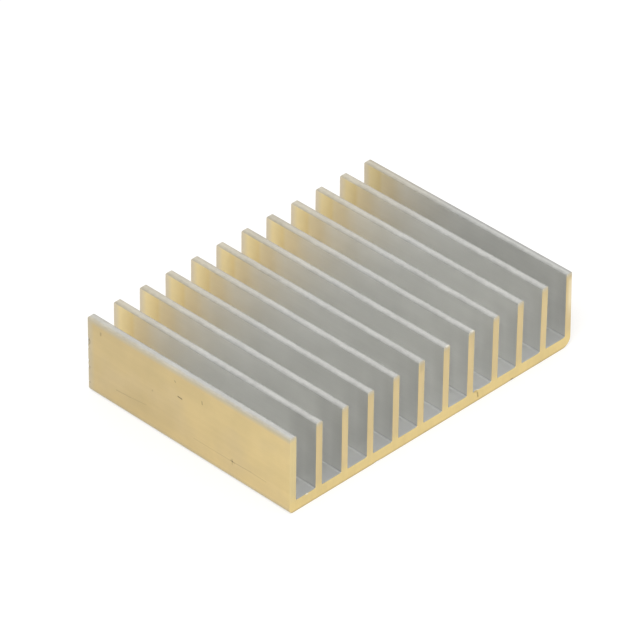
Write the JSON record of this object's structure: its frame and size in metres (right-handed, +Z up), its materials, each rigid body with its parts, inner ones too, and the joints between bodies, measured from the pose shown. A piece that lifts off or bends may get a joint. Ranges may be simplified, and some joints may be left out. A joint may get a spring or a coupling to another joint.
{
  "type": "heat sink",
  "caption": "Low rectangular aluminium heat sink: a flat base with straight, parallel fins along its whole length, sawn from an extrusion, that cools a chip or module.",
  "frame": {"origin": "middle of the underside", "axes": "+X across the fins, towards the end fin whose outer face leans in; +Y along the fins, from the sawn end in front to the one at the back; +Z up, from the underside to the fin tips"},
  "size_m": [0.0704, 0.05, 0.016],
  "materials": {
    "aluminium": "satin mill finish: silver grey between the fins and on their tips, pale gold on the outer faces and the sawn ends"
  },
  "bodies": {
    "root": {"heat_sink": "aluminium"}
  },
  "joints": []
}
